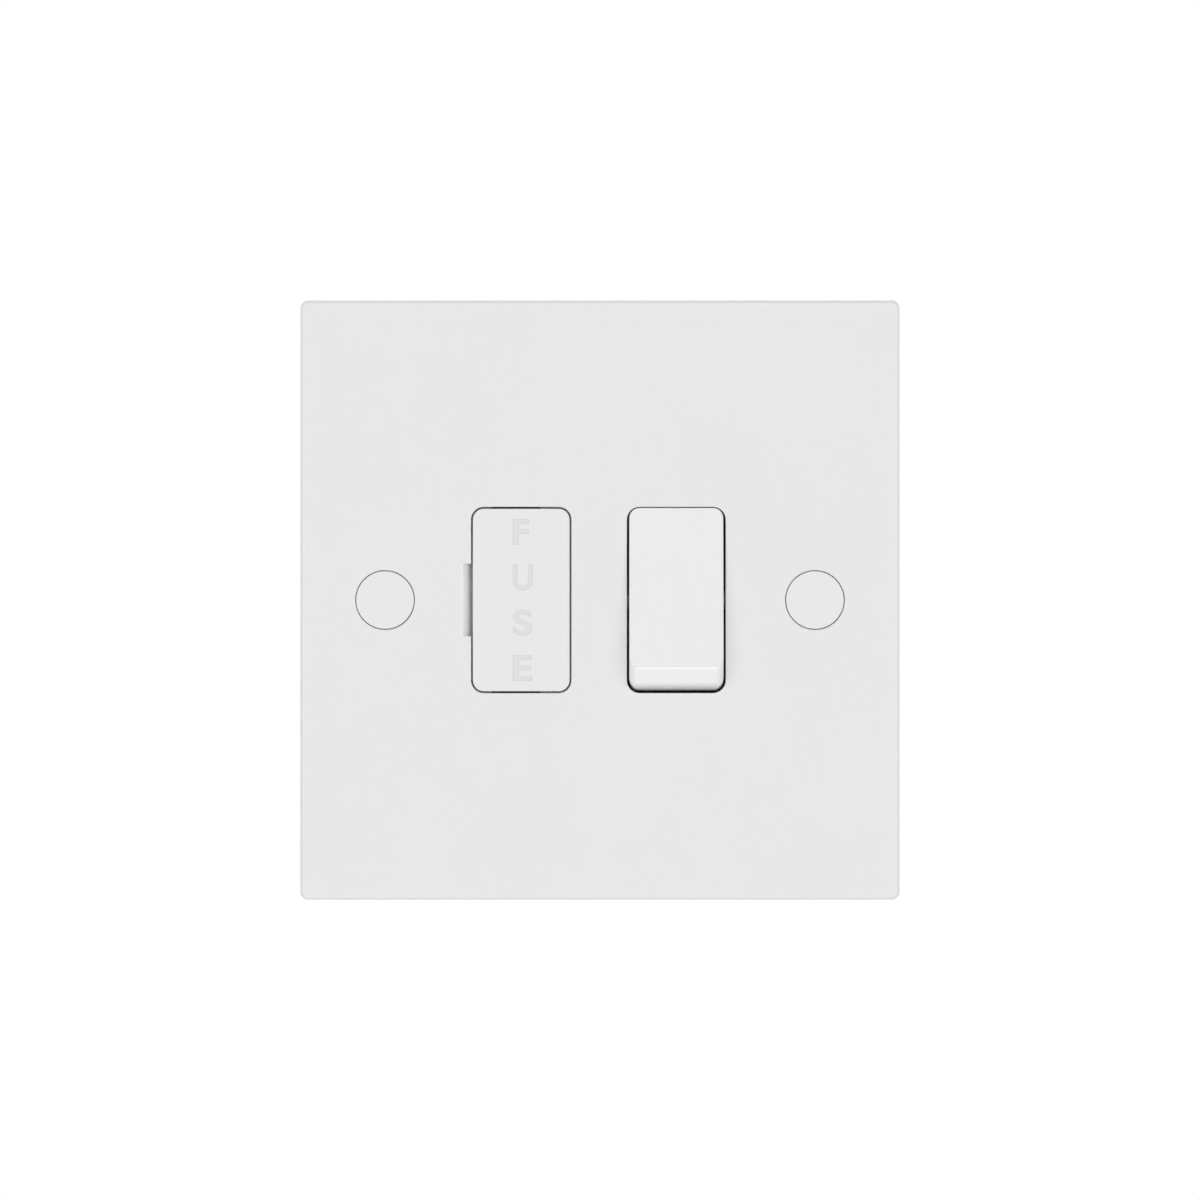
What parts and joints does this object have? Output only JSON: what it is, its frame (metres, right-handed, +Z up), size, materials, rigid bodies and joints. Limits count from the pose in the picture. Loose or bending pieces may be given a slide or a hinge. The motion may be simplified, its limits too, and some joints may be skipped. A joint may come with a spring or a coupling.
{
  "type": "fused spur unit",
  "caption": "Switched fused spur unit: square white wall plate with a pull-out fuse carrier, a rocker switch, flush screw covers and a rear base with pillar terminals.",
  "frame": {"origin": "wall plane at the middle of the two wall fixings", "axes": "+X to the right and +Z up as seen from the front, +Y into the wall"},
  "size_m": [0.0842, 0.0275, 0.0842],
  "materials": {
    "brass_block": "extruded",
    "brass_screw": "turned",
    "brass_strip": "pressed strip",
    "copper_lever": "pressed copper",
    "fuse_ceramic": "unglazed",
    "natural_nylon": "moulded",
    "nickel_cap": "nickel plated",
    "phosphor_bronze": "pressed spring bronze",
    "silver_tip": "silver alloy",
    "spring_steel": "drawn wire",
    "white_nylon_base": "matt moulded",
    "white_polycarbonate": "satin moulded",
    "white_urea_plate": "satin moulded",
    "zinc_screw": "zinc plated"
  },
  "bodies": {
    "unit": {"base_screws": "zinc_screw", "earth_strap": "brass_strip", "fixed_tip_live": "silver_tip", "fixed_tip_neutral": "silver_tip", "front_plate": "white_urea_plate", "fuse_clip_lower": "phosphor_bronze", "fuse_clip_upper": "phosphor_bronze", "live_link_strip": "brass_strip", "load_earth_terminal": "brass_block", "load_live_strip": "brass_strip", "load_live_terminal": "brass_block", "load_neutral_strip": "brass_strip", "load_neutral_terminal": "brass_block", "rear_base": "white_nylon_base", "screw_cover_left": "white_polycarbonate", "screw_cover_right": "white_polycarbonate", "supply_earth_terminal": "brass_block", "supply_live_strip": "brass_strip", "supply_live_terminal": "brass_block", "supply_neutral_strip": "brass_strip", "supply_neutral_terminal": "brass_block", "terminal_screws": "brass_screw"},
    "rocker": {"rocker": "white_polycarbonate", "plunger_spring_live": "spring_steel", "plunger_spring_neutral": "spring_steel"},
    "live_plunger": {"plunger_live": "natural_nylon"},
    "neutral_plunger": {"plunger_neutral": "natural_nylon"},
    "live_lever": {"moving_contact_live": "copper_lever", "moving_tip_live": "silver_tip"},
    "neutral_lever": {"moving_contact_neutral": "copper_lever", "moving_tip_neutral": "silver_tip"},
    "carrier": {"fuse_carrier": "white_polycarbonate", "fuse_body": "fuse_ceramic", "fuse_cap_upper": "nickel_cap", "fuse_cap_lower": "nickel_cap"}
  },
  "joints": [
    {"name": "rocker_tilt", "type": "hinge", "parent": "unit", "child": "rocker", "pos_m": [0.0107, -0.0055, 0], "axis": [1, 0, 0], "range_deg": [0, 14]},
    {"name": "live_lever_rock", "type": "hinge", "parent": "unit", "child": "live_lever", "pos_m": [0.0074, 0.0074, 0], "axis": [1, 0, 0], "range_deg": [-12, 0]},
    {"name": "neutral_lever_rock", "type": "hinge", "parent": "unit", "child": "neutral_lever", "pos_m": [0.014, 0.0074, 0], "axis": [1, 0, 0], "range_deg": [-12, 0]},
    {"name": "live_plunger_spring", "type": "slide", "parent": "rocker", "child": "live_plunger", "axis": [0, -0.9925, 0.1219], "range_m": [0, 0.0003], "stiffness_N_per_m": 800, "springref_m": -0.001, "deforming": ["plunger_spring_live"]},
    {"name": "neutral_plunger_spring", "type": "slide", "parent": "rocker", "child": "neutral_plunger", "axis": [0, -0.9925, 0.1219], "range_m": [0, 0.0003], "stiffness_N_per_m": 800, "springref_m": -0.001, "deforming": ["plunger_spring_neutral"]},
    {"name": "fuse_carrier_pull", "type": "slide", "parent": "unit", "child": "carrier", "axis": [0, -1, 0], "range_m": [0, 0.0129]}
  ],
  "couplings": [
    {"joint": "live_lever_rock", "follows": "rocker_tilt", "ratio": -0.85714},
    {"joint": "neutral_lever_rock", "follows": "rocker_tilt", "ratio": -0.85714}
  ]
}
